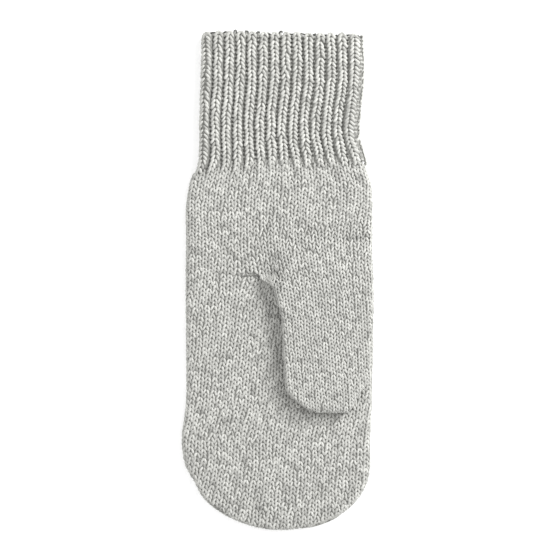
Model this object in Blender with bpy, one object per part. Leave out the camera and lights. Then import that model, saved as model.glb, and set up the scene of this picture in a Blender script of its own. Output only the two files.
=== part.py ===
"""A knitted wool mitten for a child's left hand, laid flat with its palm up.

Three pieces of knitting make it: a cuff in 1 x 1 rib, a plain knitted hand with a round tip, and a thumb that
grows out of a slit in the palm and lies folded down on it. Each is a tube pressed flat, its two sheets lying
on each other with a thin hollow between them.

Units are metres and +Z is up. The mitten lies on z = 0, +Y points to the cuff's edge and +X to the thumb side.
The origin is the middle of the underside. It runs in Blender 4.5.
"""

import math
from collections import namedtuple

import bmesh
import bpy

# Driving dimensions of the whole mitten
CUFF_END_Y = 0.0990  # the cuff's edge, at the middle of its mouth
CUFF_END_SLOPE = -0.02  # how the edge runs across the mitten, y for each x
JOIN_Y = 0.0446  # where the ribs give way to plain knit
JOIN_SLOPE = 0.05
SLANT_POWER = 3  # how soon the hand's rings turn square to it, away from the slanting join
TIP_START_Y = -0.0716  # from here the hand narrows to its tip
TIP_Y = -0.0996
GAP = 0.0003  # between neighbouring pieces

# Driving dimensions of the plain knit
WALL = 0.0020  # one sheet
HOLLOW = 0.0010  # between the hand's two sheets
HAND_HEIGHT = 2 * WALL + HOLLOW
TIP_ROUND_LEFT = 1.8  # exponents of the two quarter ellipses of the tip
TIP_ROUND_RIGHT = 2.2

# Driving dimensions of the rib
RIBS_ROUND = 30
RIB_HEIGHT = 0.0012  # crest above valley
RIB_FADE = 0.0050  # the ribs melt into the plain knit over this length
RIB_SWAY = 0.0003  # how far the ribs wander sideways
RIB_SWAY_LENGTH = 0.034
CUFF_UNDER_WALL = 0.0022
CUFF_VALLEY_TOP = 0.0049  # height of the valleys between the ribs
CUFF_SCALLOP = 0.0006  # how far each rib stands out of the cuff's edge

# Driving dimensions of the thumb
THUMB_HOLLOW = 0.0008
THUMB_HEIGHT = 2 * WALL + THUMB_HOLLOW
THUMB_TAPER_Y = -0.0390  # from here the thumb's sides close in on its tip
CROTCH_Y = 0.0016  # the slit's edge on the fingertips' side
SLIT_DEPTH = 0.0185  # the slit, opened round, along y
SLIT_LEFT = -0.0090
SLIT_RIGHT = 0.0355
SLIT_ROUND = 2.4  # exponent of the slit's outline
BEND_NARROWING = 1.2  # the hollow's side walls are this many sheets thick in the bend
ROUND_BENDS = 2  # the thumb keeps the slit's outline up to this row of its bends

# Points of a ring, over its top and under its bottom
RIB_STEPS = 4  # for each rib
CUFF_UNDER_STEPS = 12
HAND_STEPS = (20, 8)
THUMB_STEPS = (20, 20)

# Places of the rings along each piece, as shares of its length, closer together where it curves most
CUFF_RINGS = (0.0, 0.03, 0.065, 0.1, 0.2, 0.32, 0.44, 0.56, 0.68, 0.8, 0.92, 1.0)
HAND_STRAIGHT_RINGS = 12
HAND_TIP_RINGS = (0.2, 0.38, 0.54, 0.68, 0.8, 0.89, 0.95, 0.985, 0.998)
THUMB_RINGS = (0.0, 0.08, 0.18, 0.3, 0.43, 0.56, 0.66, 0.74, 0.81, 0.87, 0.92, 0.96, 0.985, 0.998)

WOOL_COLOUR = (0.52, 0.52, 0.49, 1.0)
WOOL_ROUGHNESS = 0.95
SMOOTH_ANGLE = math.radians(50)

Edge = namedtuple("Edge", "y left right")
Bend = namedtuple("Bend", "front_y front_z crotch_y crotch_z left right")

# The cuff's side edges, from the hand to the mouth
CUFF_EDGES = (
    Edge(y=0.0446, left=-0.0332, right=0.0356),
    Edge(y=0.0490, left=-0.0316, right=0.0343),
    Edge(y=0.0560, left=-0.0308, right=0.0327),
    Edge(y=0.0660, left=-0.0310, right=0.0330),
    Edge(y=0.0780, left=-0.0307, right=0.0341),
    Edge(y=0.0990, left=-0.0303, right=0.0340),
)

# The hand's side edges, from the cuff to where the tip starts
HAND_EDGES = (
    Edge(y=0.0446, left=-0.0332, right=0.0356),
    Edge(y=0.0390, left=-0.0352, right=0.0375),
    Edge(y=0.0310, left=-0.0365, right=0.0382),
    Edge(y=0.0160, left=-0.0366, right=0.0379),
    Edge(y=-0.0020, left=-0.0368, right=0.0384),
    Edge(y=-0.0300, left=-0.0366, right=0.0382),
    Edge(y=-0.0500, left=-0.0368, right=0.0379),
    Edge(y=-0.0640, left=-0.0384, right=0.0372),
    Edge(y=-0.0716, left=-0.0376, right=0.0374),
)

# The thumb's bend, out of the slit and over to the fingertips: y from the crotch and z from the palm, with
# the side edges. The front is the face that shows, and the crotch is the inner side of the bend.
THUMB_BENDS = (
    Bend(front_y=0.0182, front_z=0.0000, crotch_y=0.0003, crotch_z=-0.0020, left=-0.0087, right=0.0352),
    Bend(front_y=0.0155, front_z=0.0005, crotch_y=0.0003, crotch_z=-0.0009, left=-0.0074, right=0.0339),
    Bend(front_y=0.0125, front_z=0.0016, crotch_y=0.0003, crotch_z=0.0000, left=-0.0062, right=0.0327),
    Bend(front_y=0.0090, front_z=0.0032, crotch_y=0.0002, crotch_z=0.00025, left=-0.0062, right=0.0332),
    Bend(front_y=0.0050, front_z=0.0044, crotch_y=-0.0003, crotch_z=0.0003, left=-0.0056, right=0.0350),
    Bend(front_y=0.0005, front_z=0.0050, crotch_y=-0.0015, crotch_z=0.0003, left=-0.0042, right=0.0372),
)

# The thumb's side edges, from the bend to its blunt tip
THUMB_EDGES = (
    Edge(y=-0.0040, left=-0.0020, right=0.0384),
    Edge(y=-0.0120, left=0.0009, right=0.0385),
    Edge(y=-0.0240, left=0.0019, right=0.0383),
    Edge(y=-0.0340, left=0.0024, right=0.0381),
    Edge(y=-0.0390, left=0.0027, right=0.0372),
    Edge(y=-0.0436, left=0.0034, right=0.0337),
    Edge(y=-0.0480, left=0.0076, right=0.0309),
    Edge(y=-0.0510, left=0.0120, right=0.0294),
    Edge(y=-0.0526, left=0.0170, right=0.0280),
)


def blend(a, b, share):
    """Returns the value that lies the given share of the way from a to b."""
    return a + (b - a) * share


def ease(share):
    """Returns 0 to 1 with a level start and end."""
    share = min(max(share, 0.0), 1.0)
    return share * share * (3 - 2 * share)


def edges_at(rows, y):
    """Returns the left and right edges at y, on a smooth curve through a table's rows."""
    rows = sorted(rows)
    y = min(max(y, rows[0].y), rows[-1].y)
    place = max(i for i, row in enumerate(rows[:-1]) if row.y <= y)
    near, far = rows[place], rows[place + 1]
    before, after = rows[max(place - 1, 0)], rows[min(place + 2, len(rows) - 1)]
    length = far.y - near.y
    share = (y - near.y) / length
    found = []
    for column in ("left", "right"):
        start, end = getattr(near, column), getattr(far, column)
        start_slope = (end - getattr(before, column)) / (far.y - before.y) * length
        end_slope = (getattr(after, column) - start) / (after.y - near.y) * length
        turn = end - start
        found.append(
            start
            + start_slope * share
            + (3 * turn - 2 * start_slope - end_slope) * share**2
            + (start_slope + end_slope - 2 * turn) * share**3
        )
    return found


def hand_edges(y, inset):
    """Returns the hand's left and right edges at y, moved in by inset, tip included."""
    if y >= TIP_START_Y:
        left, right = edges_at(HAND_EDGES, y)
        return left + inset, right - inset
    depth = TIP_START_Y - TIP_Y - inset
    along = min((TIP_START_Y - y) / depth, 1.0)
    _, left, right = HAND_EDGES[-1]
    return (
        (left + inset) * (1 - along**TIP_ROUND_LEFT) ** (1 / TIP_ROUND_LEFT),
        (right - inset) * (1 - along**TIP_ROUND_RIGHT) ** (1 / TIP_ROUND_RIGHT),
    )


def folded_point(half_width, half_height, turn):
    """Returns a point of a flattened tube's section and the way out of it, as (x, z, out_x, out_z).

    The section lies round the origin. A turn of 0 is the left fold, 0.5 the middle of the top, 1 the right fold
    and 1.5 the middle of the bottom.
    """
    radius = min(half_width, half_height)
    quarter = radius * math.pi / 2
    flat = 2 * (half_width - radius)
    side = 1 if turn <= 1 else -1
    run = (turn if turn <= 1 else 2 - turn) * (flat + 2 * quarter)
    if run < quarter:
        middle, angle = -half_width + radius, math.pi - run / radius
    elif run > quarter + flat:
        middle, angle = half_width - radius, math.pi / 2 - (run - quarter - flat) / radius
    else:
        middle, angle = -half_width + radius + run - quarter, math.pi / 2
    out_x, out_z = math.cos(angle), side * math.sin(angle)
    return middle + radius * out_x, radius * out_z, out_x, out_z


def turns(over, under):
    """Returns the turns of a ring's points, over the top and under the bottom, closer together near the folds."""
    top = [0.5 - 0.5 * math.cos(math.pi * i / over) for i in range(over)]
    bottom = [1.5 - 0.5 * math.cos(math.pi * i / under) for i in range(under)]
    return top + bottom


def skin(bm, rings):
    """Adds rings of points and the faces between each two neighbours, and returns the rings' vertices."""
    made = [[bm.verts.new(point) for point in ring] for ring in rings]
    for near, far in zip(made, made[1:]):
        bridge(bm, near, far)
    return made


def bridge(bm, near, far):
    """Joins two rings of vertices with a band of faces."""
    for i, vertex in enumerate(near):
        following = (i + 1) % len(near)
        bm.faces.new((vertex, near[following], far[following], far[i]))


def add_piece(name, bm, parent):
    """Turns the finished mesh into a named object of wool, with its faces out and round parts shaded smooth."""
    bmesh.ops.recalc_face_normals(bm, faces=bm.faces[:])
    mesh = bpy.data.meshes.new(name)
    bm.to_mesh(mesh)
    bm.free()
    mesh.shade_smooth()
    mesh.set_sharp_from_angle(angle=SMOOTH_ANGLE)
    mesh.materials.append(wool(name))
    piece = bpy.data.objects.new(name, mesh)
    piece.parent = parent
    bpy.context.scene.collection.objects.link(piece)
    return piece


def wool(name):
    """Returns the light grey wool of one piece."""
    material = bpy.data.materials.new(f"{name} wool")
    material.use_nodes = True
    shader = material.node_tree.nodes["Principled BSDF"]
    shader.inputs["Base Color"].default_value = WOOL_COLOUR
    shader.inputs["Roughness"].default_value = WOOL_ROUGHNESS
    shader.inputs["Metallic"].default_value = 0.0
    return material


def rib_rise(turn, y):
    """Returns 0 in a valley to 1 on a crest, for a turn of the cuff's ring at y. A crest runs along each fold."""
    sway = RIB_SWAY * math.sin(math.tau * y / RIB_SWAY_LENGTH) * math.sin(math.pi * turn)
    width = CUFF_EDGES[-1].right - CUFF_EDGES[-1].left
    phase = (turn + sway / width) * RIBS_ROUND / 2
    return 0.5 + 0.5 * math.cos(math.tau * phase)


def cuff_turns():
    """Returns the turns of the cuff's points: even steps over its ribs, and fewer under its flat side."""
    over = RIB_STEPS * RIBS_ROUND // 2
    return [i / over for i in range(over)] + turns(0, CUFF_UNDER_STEPS)


def cuff_ring(share, outer):
    """Returns a ring of the cuff, 0 at the hand to 1 at the mouth, of its ribbed outer or plain inner points."""
    middle_y = blend(JOIN_Y + GAP / 2, CUFF_END_Y, share)
    left, right = edges_at(CUFF_EDGES, middle_y)
    fade = ease((middle_y - JOIN_Y) / RIB_FADE)
    height = blend(HAND_HEIGHT, CUFF_VALLEY_TOP, fade)
    hollow_floor = blend(WALL, CUFF_UNDER_WALL, fade)
    crest = RIB_HEIGHT * fade
    ring = []
    for turn in cuff_turns():
        rise = rib_rise(turn, middle_y)
        if outer:
            half_width = (right - left) / 2 - crest
            x, z, out_x, out_z = folded_point(half_width, height / 2, turn)
            under = max(0.0, -out_z)
            lift = crest * rise * (1 - under)
            x, z = x + out_x * lift, max(z + out_z * lift, -height / 2)
            z += height / 2
        else:
            half_width = (right - left) / 2 - crest - WALL
            x, z, _, _ = folded_point(half_width, HOLLOW / 2, turn)
            z += hollow_floor + HOLLOW / 2
        x += (left + right) / 2
        start = JOIN_Y + GAP / 2 + JOIN_SLOPE * x
        end = CUFF_END_Y + CUFF_END_SLOPE * x + CUFF_SCALLOP * (rise - 1)
        ring.append((x, blend(start, end, share), z))
    return ring


def add_cuff(parent):
    """Adds the ribbed cuff, open at both ends."""
    bm = bmesh.new()
    outer = skin(bm, [cuff_ring(share, outer=True) for share in CUFF_RINGS])
    inner = skin(bm, [cuff_ring(share, outer=False) for share in CUFF_RINGS])
    bridge(bm, outer[0], inner[0])
    bridge(bm, outer[-1], inner[-1])
    return add_piece("cuff", bm, parent)


def hand_ring(y, inset, slant):
    """Returns a ring of the hand at y, moved in by inset; a slant of 1 lays it along the cuff's edge."""
    left, right = hand_edges(y, inset)
    radius = HAND_HEIGHT / 2 - inset
    to_tip = min(max(y - TIP_Y - inset, 0.0), radius)
    half_height = math.sqrt(max(radius**2 - (radius - to_tip) ** 2, 0.0))
    ring = []
    for turn in turns(*HAND_STEPS):
        x, z, _, _ = folded_point((right - left) / 2, half_height, turn)
        x += (left + right) / 2
        ring.append((x, y + slant * JOIN_SLOPE * x, z + HAND_HEIGHT / 2))
    return ring


def hand_rings(inset):
    """Returns the rings of the hand's outer face, or of its hollow, from the cuff to the tip."""
    start = JOIN_Y - GAP / 2
    rings = []
    for i in range(HAND_STRAIGHT_RINGS + 1):
        share = i / HAND_STRAIGHT_RINGS
        rings.append(hand_ring(blend(start, TIP_START_Y, share), inset, slant=(1 - share) ** SLANT_POWER))
    depth = TIP_START_Y - TIP_Y - inset
    rings += [hand_ring(TIP_START_Y - depth * share, inset, slant=0) for share in HAND_TIP_RINGS]
    return rings


def slit_outline(turn):
    """Returns a point on the slit's outline as shares of its half width and half depth."""
    angle = math.pi * (1 - turn)
    across, along = math.cos(angle), math.sin(angle)
    power = 2 / SLIT_ROUND
    return math.copysign(abs(across) ** power, across), math.copysign(abs(along) ** power, along)


def add_slit_cutter():
    """Adds the plug that opens the thumb's slit in the hand's top sheet."""
    bm = bmesh.new()
    levels = (HAND_HEIGHT / 2, 2 * HAND_HEIGHT)
    rings = []
    for level in levels:
        ring = []
        for turn in turns(*THUMB_STEPS):
            across, along = slit_outline(turn)
            x = blend(SLIT_LEFT, SLIT_RIGHT, (across + 1) / 2)
            y = CROTCH_Y + SLIT_DEPTH * (along + 1) / 2
            ring.append((x, y, level))
        rings.append(ring)
    low, high = skin(bm, rings)
    bm.faces.new(low)
    bm.faces.new(high)
    bmesh.ops.recalc_face_normals(bm, faces=bm.faces[:])
    mesh = bpy.data.meshes.new("slit_cutter")
    bm.to_mesh(mesh)
    bm.free()
    cutter = bpy.data.objects.new("slit_cutter", mesh)
    cutter.hide_render = True
    cutter.display_type = "WIRE"
    bpy.context.scene.collection.objects.link(cutter)
    return cutter


def add_hand(parent):
    """Adds the hand, open to the cuff, with the thumb's slit in its top sheet."""
    bm = bmesh.new()
    outer = skin(bm, hand_rings(0.0))
    inner = skin(bm, hand_rings(WALL))
    bridge(bm, outer[0], inner[0])
    bm.faces.new(outer[-1])
    bm.faces.new(inner[-1])
    hand = add_piece("hand", bm, parent)
    slit = hand.modifiers.new("slit", "BOOLEAN")
    slit.operation = "DIFFERENCE"
    slit.solver = "EXACT"
    slit.object = add_slit_cutter()
    return hand


def moved_in(places, depth, way):
    """Moves a line of (y, z) places sideways by depth, to its left for a way of 1 or its right for -1."""
    moved = []
    for i, (y, z) in enumerate(places):
        before, after = places[max(i - 1, 0)], places[min(i + 1, len(places) - 1)]
        along_y, along_z = after[0] - before[0], after[1] - before[1]
        length = math.hypot(along_y, along_z)
        moved.append((y - way * depth * along_z / length, z + way * depth * along_y / length))
    return moved


def thumb_rings(inset):
    """Returns the rings of the thumb's outer face, or of its hollow, from the slit to the tip."""
    palm = HAND_HEIGHT
    front = [(CROTCH_Y + bend.front_y, palm + bend.front_z) for bend in THUMB_BENDS]
    crotch = [(CROTCH_Y + bend.crotch_y, palm + bend.crotch_z) for bend in THUMB_BENDS]
    narrowing = inset * BEND_NARROWING
    sides = [(bend.left + narrowing, bend.right - narrowing) for bend in THUMB_BENDS]
    radius = THUMB_HEIGHT / 2 - inset
    middle = palm + GAP + THUMB_HEIGHT / 2
    first, tip = THUMB_EDGES[0].y, THUMB_EDGES[-1].y
    for share in THUMB_RINGS:
        y = blend(first, tip + inset, share)
        to_tip = min(y - tip - inset, radius)
        half_height = math.sqrt(radius**2 - (radius - to_tip) ** 2)
        front.append((y, middle + half_height))
        crotch.append((y, middle - half_height))
        left, right = edges_at(THUMB_EDGES, y)
        narrowing = inset * (1 + ease((THUMB_TAPER_Y - y) / (THUMB_TAPER_Y - tip)))
        sides.append((left + narrowing, right - narrowing))
    bends = len(THUMB_BENDS)
    front[:bends] = moved_in(front[:bends], inset, 1)
    crotch[:bends] = moved_in(crotch[:bends], inset, -1)
    rings = []
    for i, ((front_y, front_z), (crotch_y, crotch_z), (left, right)) in enumerate(zip(front, crotch, sides)):
        flatness = ease((i - ROUND_BENDS) / (bends - ROUND_BENDS))
        half_height = math.hypot(front_y - crotch_y, front_z - crotch_z) / 2
        half_width = (right - left) / 2
        ring = []
        for turn in turns(*THUMB_STEPS):
            round_across, round_along = slit_outline(turn)
            x, z, _, _ = folded_point(half_width, half_height, turn)
            across = blend(round_across, x / half_width, flatness)
            along = blend(round_along, z / half_height, flatness)
            share = (along + 1) / 2
            ring.append(
                (
                    (left + right) / 2 + across * half_width,
                    blend(crotch_y, front_y, share),
                    blend(crotch_z, front_z, share),
                )
            )
        rings.append(ring)
    return rings


def add_thumb(parent):
    """Adds the thumb, open to the hand at the slit, closed at its tip, lying just above the palm."""
    bm = bmesh.new()
    outer = skin(bm, thumb_rings(0.0))
    inner = skin(bm, thumb_rings(WALL))
    bridge(bm, outer[0], inner[0])
    bm.faces.new(outer[-1])
    bm.faces.new(inner[-1])
    return add_piece("thumb", bm, parent)


def main():
    """Clears the scene and builds the mitten."""
    for old in list(bpy.data.objects):
        bpy.data.objects.remove(old, do_unlink=True)
    mitten = bpy.data.objects.new("mitten", None)
    bpy.context.scene.collection.objects.link(mitten)
    add_cuff(mitten)
    add_hand(mitten)
    add_thumb(mitten)


main()
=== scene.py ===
"""Looks of a child's knitted wool mitten, laid flat with its palm up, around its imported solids.

Every stitch that shows is made: two bowed legs of yarn for each stitch of plain knit and of the cuff's ribs,
a bump for each purl stitch between the ribs, and loops along the cuff's edge. They lie on thin shells that
have the form of the solids and replace them. All lengths are metres, in the frame of the solids: +Z is up,
+Y points to the cuff's edge and +X to the thumb side.

A wale is a column of stitches and a course is a row of them. A stitch first gets a place in the plan of the
opened-out cloth, and its sheet then folds that plan round the mitten's edges.
"""

import logging
import math
from dataclasses import dataclass, field
from enum import Enum
from functools import cache, cached_property
from typing import Callable

import bpy
import numpy as np
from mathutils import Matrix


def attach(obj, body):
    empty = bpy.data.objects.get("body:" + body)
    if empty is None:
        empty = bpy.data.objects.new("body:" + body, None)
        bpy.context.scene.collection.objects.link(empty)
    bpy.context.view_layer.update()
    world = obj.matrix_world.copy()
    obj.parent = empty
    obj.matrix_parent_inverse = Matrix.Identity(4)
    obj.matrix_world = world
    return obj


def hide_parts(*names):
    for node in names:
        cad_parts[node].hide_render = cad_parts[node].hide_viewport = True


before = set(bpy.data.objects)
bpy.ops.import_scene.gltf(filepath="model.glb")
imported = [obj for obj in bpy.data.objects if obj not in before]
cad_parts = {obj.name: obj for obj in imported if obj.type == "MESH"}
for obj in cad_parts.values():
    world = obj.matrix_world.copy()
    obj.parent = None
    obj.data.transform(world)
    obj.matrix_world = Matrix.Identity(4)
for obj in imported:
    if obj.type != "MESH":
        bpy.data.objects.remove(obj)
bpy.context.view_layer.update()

LOG = logging.getLogger("mitten")
BODY = "root"
SEED = 7

# The mitten's plan, as in its solids
JOIN_Y = 0.0446  # the ribs give way to plain knit
JOIN_SLOPE = 0.05
CUFF_END_Y = 0.0990
CUFF_END_SLOPE = -0.02
TIP_START_Y = -0.0716
TIP_Y = -0.0996
TIP_ROUND_LEFT = 1.8
TIP_ROUND_RIGHT = 2.2
CROTCH_Y = 0.0016
CROTCH_X = -0.0068
SLIT_TOP_Y = 0.0198
ROOT_TOP_Y = SLIT_TOP_Y + 0.004  # the thumb's own stitches start here
SEAM_Y = 0.0024  # the short seam that closes the corner of the thumb's opening

# The knitting
WALES = 30  # across one face of the hand, two for each rib
RIBS = 15  # across one face of the cuff
THUMB_FIRST_WALE = 12
THUMB_WALES = WALES - THUMB_FIRST_WALE
WALE = 0.0026  # from one wale to the next
THUMB_WALE = 0.0023
COURSE = 0.00168  # from one course to the next
THUMB_COURSE = 0.00150
ROWS_IN_RIBS = 2  # rows of plain knit that run up between the ribs
COURSES = np.arange(-ROWS_IN_RIBS, 100) + 0.5
QUARTER_STITCH = 0.25
QUARTER_GROWTH = math.pi / 2 - 1  # how much wider than its outline a folded sheet is, for each radius

# How closely outlines are sampled
OUTLINE_STEP = 0.0005
EDGE_SAMPLES = 160
TIP_SAMPLES = 240
HAND_TOP_Y = 0.0485  # the outline passes from the hand's edges to the cuff's
HAND_TOP_GAP = 0.001
FIELD_LOW = np.array((-0.046, -0.108))  # the plan in which depths inside an outline are known
FIELD_HIGH = np.array((0.047, 0.112))
FIELD_STEP = 0.0005
FIELD_END = 1.001  # short of the last row and column
NORMAL_STEP = 0.0002

# The left of the tip is drawn in a little
TIP_TUCK = 0.0017
TIP_TUCK_Y = -0.0800
TIP_TUCK_LENGTH = 0.0055

# Side edges: y, left and right
CUFF_EDGES = np.array(
    (
        (0.0446, -0.0332, 0.0356),
        (0.0490, -0.0316, 0.0343),
        (0.0560, -0.0308, 0.0327),
        (0.0660, -0.0310, 0.0330),
        (0.0780, -0.0307, 0.0341),
        (0.0990, -0.0303, 0.0340),
        (0.1100, -0.0303, 0.0340),
    )
)
HAND_EDGES = np.array(
    (
        (-0.0716, -0.0376, 0.0374),
        (-0.0640, -0.0384, 0.0372),
        (-0.0500, -0.0368, 0.0379),
        (-0.0300, -0.0366, 0.0382),
        (-0.0020, -0.0368, 0.0384),
        (0.0160, -0.0366, 0.0379),
        (0.0310, -0.0365, 0.0382),
        (0.0390, -0.0352, 0.0375),
        (0.0446, -0.0332, 0.0356),
        (0.0490, -0.0316, 0.0343),
    )
)
THUMB_EDGES = np.array(
    (
        (-0.0526, 0.0170, 0.0280),
        (-0.0510, 0.0120, 0.0294),
        (-0.0480, 0.0076, 0.0309),
        (-0.0436, 0.0034, 0.0337),
        (-0.0390, 0.0027, 0.0372),
        (-0.0340, 0.0024, 0.0381),
        (-0.0240, 0.0019, 0.0383),
        (-0.0120, 0.0009, 0.0385),
        (-0.0070, -0.0008, 0.0385),
        (-0.0008, -0.0034, 0.0384),
        (0.0016, -0.0064, 0.0384),
        (0.0060, -0.0068, 0.0382),
        (0.0260, -0.0068, 0.0381),
    )
)


def ease(share: np.ndarray | float) -> np.ndarray:
    """Returns 0 to 1 with a level start and end."""
    share = np.clip(share, 0.0, 1.0)
    return share * share * (3 - 2 * share)


def mix(a: np.ndarray | float, b: np.ndarray | float, share: np.ndarray | float) -> np.ndarray:
    """Returns the value that lies the given share of the way from a to b."""
    return a + (b - a) * share


def bell(off: np.ndarray, width: float, power: int = 2) -> np.ndarray:
    """Returns 1 at 0, falling softly to 0 a little more than a width away."""
    return np.exp(-((off / width) ** power))


def ramp(below: np.ndarray, soft: float) -> np.ndarray:
    """Returns 0 rising softly into a straight line, as a value goes from below 0 to above it."""
    return 0.5 * (below + np.hypot(below, soft))


def read_curve(rows: np.ndarray, at: np.ndarray) -> np.ndarray:
    """Reads smooth curves through the rows of a table.

    Args:
        rows: A row for each known place, the place first and then its values. Places ascend.
        at: The places to read.

    Returns:
        The values, with a last axis as long as a row has values.
    """
    places, values = rows[:, 0], rows[:, 1:]
    at = np.clip(at, places[0], places[-1])
    near = np.clip(np.searchsorted(places, at, side="right") - 1, 0, len(places) - 2)
    slopes = np.gradient(values, places, axis=0)
    length = (places[near + 1] - places[near])[..., None]
    share = (at - places[near])[..., None] / length
    start, end = values[near], values[near + 1]
    leave, arrive = slopes[near] * length, slopes[near + 1] * length
    turn = end - start
    return (
        start
        + leave * share
        + (3 * turn - 2 * leave - arrive) * share**2
        + (leave + arrive - 2 * turn) * share**3
    )


def grid_cells(wales: np.ndarray, courses: np.ndarray) -> np.ndarray:
    """Returns every pair of a wale and a course."""
    wale, course = np.meshgrid(wales, courses)
    return np.column_stack([wale.ravel(), course.ravel()]).astype(float)


@dataclass(frozen=True)
class Outline:
    """A plan outline as close points, with the way in at each."""

    points: np.ndarray
    inward: np.ndarray

    @classmethod
    def through(cls, points: np.ndarray) -> "Outline":
        """Samples a line of points evenly.

        Args:
            points: The line. The inside is on the left of its run.

        Returns:
            The outline.
        """
        lengths = np.concatenate([[0.0], np.cumsum(np.hypot(*np.diff(points, axis=0).T))])
        at = np.linspace(0, lengths[-1], int(lengths[-1] / OUTLINE_STEP))
        even = np.stack([np.interp(at, lengths, points[:, i]) for i in (0, 1)], axis=1)
        run = np.gradient(even, axis=0)
        run /= np.linalg.norm(run, axis=1, keepdims=True)
        return cls(even, np.stack([-run[:, 1], run[:, 0]], axis=1))

    def grown(self, amount: float) -> "Outline":
        """Returns this outline moved out by an amount."""
        return Outline(self.points - self.inward * amount, self.inward)

    def span(self, y: np.ndarray) -> tuple[np.ndarray, np.ndarray]:
        """Finds the outline's sides.

        Args:
            y: Heights in the plan.

        Returns:
            The left and right x at each.
        """
        lowest = np.argmin(self.points[:, 1])
        left, right = self.points[: lowest + 1][::-1], self.points[lowest:]
        return np.interp(y, left[:, 1], left[:, 0]), np.interp(y, right[:, 1], right[:, 0])

    @cached_property
    def grid(self) -> np.ndarray:
        """Measures the depth and the way in on an even grid over the plan.

        Returns:
            Rows, columns, and then the depth and the two parts of the way in.
        """
        across, along = (
            np.arange(low, high, FIELD_STEP) for low, high in zip(FIELD_LOW, FIELD_HIGH)
        )
        size = np.sum(self.points**2, axis=1)
        rows = []
        for y in along:
            places = np.column_stack([across, np.full_like(across, y)])
            nearest = np.argmin(size - 2 * places @ self.points.T, axis=1)
            inward = self.inward[nearest]
            depth = np.sum((places - self.points[nearest]) * inward, axis=1)
            rows.append(np.column_stack([depth, inward]))
        return np.stack(rows)

    def depth(self, places: np.ndarray) -> tuple[np.ndarray, np.ndarray]:
        """Measures how far inside the outline places are.

        Args:
            places: Plan places, one row each.

        Returns:
            The depth of each, below 0 outside, and the way in at the outline's nearest point.
        """
        rows, columns = self.grid.shape[:2]
        at = (places - FIELD_LOW) / FIELD_STEP
        column = np.clip(at[:, 0], 0, columns - FIELD_END)
        row = np.clip(at[:, 1], 0, rows - FIELD_END)
        left, low = column.astype(int), row.astype(int)
        right_share, up_share = (column - left)[:, None], (row - low)[:, None]
        lower = mix(self.grid[low, left], self.grid[low, left + 1], right_share)
        upper = mix(self.grid[low + 1, left], self.grid[low + 1, left + 1], right_share)
        found = mix(lower, upper, up_share)
        inward = found[:, 1:]
        return found[:, 0], inward / np.maximum(np.linalg.norm(inward, axis=1, keepdims=True), 0.001)


def side_line(rows: np.ndarray, inset: float, low: float, high: float, column: int) -> np.ndarray:
    """Samples one side edge of a table.

    Args:
        rows: The table: y, left and right.
        inset: How far the edge is moved in.
        low: The lowest y.
        high: The highest y.
        column: 0 for the left edge, 1 for the right one.

    Returns:
        Plan points up the edge.
    """
    y = np.linspace(low, high, EDGE_SAMPLES)
    x = read_curve(rows, y)[:, column] + (inset, -inset)[column]
    return np.stack([x, y], axis=1)


@cache
def hand_outline(inset: float) -> Outline:
    """Draws the outline of the hand and cuff, down the left side, round the tip and up the right side.

    Args:
        inset: How far it is moved in.

    Returns:
        The outline.
    """
    left, right = (side_line(HAND_EDGES, inset, TIP_START_Y, HAND_TOP_Y, column) for column in (0, 1))
    angle = np.linspace(0, math.pi, TIP_SAMPLES)[1:-1]
    depth = TIP_START_Y - TIP_Y - inset
    side, down = -np.cos(angle), np.sin(angle)
    power = np.where(side < 0, TIP_ROUND_LEFT, TIP_ROUND_RIGHT)
    half = np.where(side < 0, -left[0, 0], right[0, 0])
    across = np.sign(side) * np.abs(side) ** (2 / power) * half
    along = TIP_START_Y - depth * down ** (2 / power)
    across = across + np.where(side < 0, TIP_TUCK * bell(along - TIP_TUCK_Y, TIP_TUCK_LENGTH), 0.0)
    cuff_left, cuff_right = (
        side_line(CUFF_EDGES, inset, HAND_TOP_Y + HAND_TOP_GAP, CUFF_EDGES[-1, 0], column)
        for column in (0, 1)
    )
    tip = np.stack([across, along], axis=1)
    return Outline.through(np.concatenate([cuff_left[::-1], left[::-1], tip, right, cuff_right]))


@cache
def thumb_outline(inset: float) -> Outline:
    """Draws the outline of the thumb, down its left side, round its blunt tip and up its right side.

    Args:
        inset: How far it is moved in.

    Returns:
        The outline.
    """
    low, high = THUMB_EDGES[0, 0] + inset, THUMB_EDGES[-1, 0]
    left, right = (side_line(THUMB_EDGES, inset, low, high, column) for column in (0, 1))
    return Outline.through(np.concatenate([left[::-1], right]))


@dataclass(frozen=True)
class Wave:
    """A low wave over pairs of values."""

    height: float
    first: float  # how fast it turns with the first value, in radians
    second: float
    start: float = 0.0

    def at(self, first: np.ndarray, second: np.ndarray) -> np.ndarray:
        """Returns the wave's height at pairs of values."""
        return self.height * np.sin(self.first * first + self.second * second + self.start)


CLOTH_WAVES = (Wave(0.00016, 160.0, 50.0), Wave(0.00014, -60.0, 130.0, 1.0))  # over x and y
WALE_SWAY = (Wave(0.00012, 1.9, 420.0), Wave(0.00016, 0.8, -190.0))  # over wales and y
RIB_SWAY = (Wave(0.035, 0.45, 2.3), Wave(0.02, 1.1, -1.4))  # over rows and ribs


@dataclass(frozen=True)
class Dent:
    """A soft dent in the cloth."""

    depth: float
    x: float
    y: float
    width: float
    length: float
    squareness: int = 2  # across; 2 is round

    def at(self, plan: np.ndarray) -> np.ndarray:
        """Returns how deep the dent is at places of the plan."""
        x, y = plan.T
        return self.depth * bell(x - self.x, self.width, self.squareness) * bell(y - self.y, self.length)


HOLLOW = Dent(depth=0.0017, x=-0.0054, y=-0.0042, width=0.0036, length=0.0056)  # beside the crotch
SEAM_DENT = Dent(depth=0.0011, x=-0.0112, y=SEAM_Y, width=0.0034, length=0.0008, squareness=4)
LAP_DENT = Dent(depth=0.0014, x=-0.0045, y=0.0006, width=0.0055, length=0.0032)  # of the shells at the crotch


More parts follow.
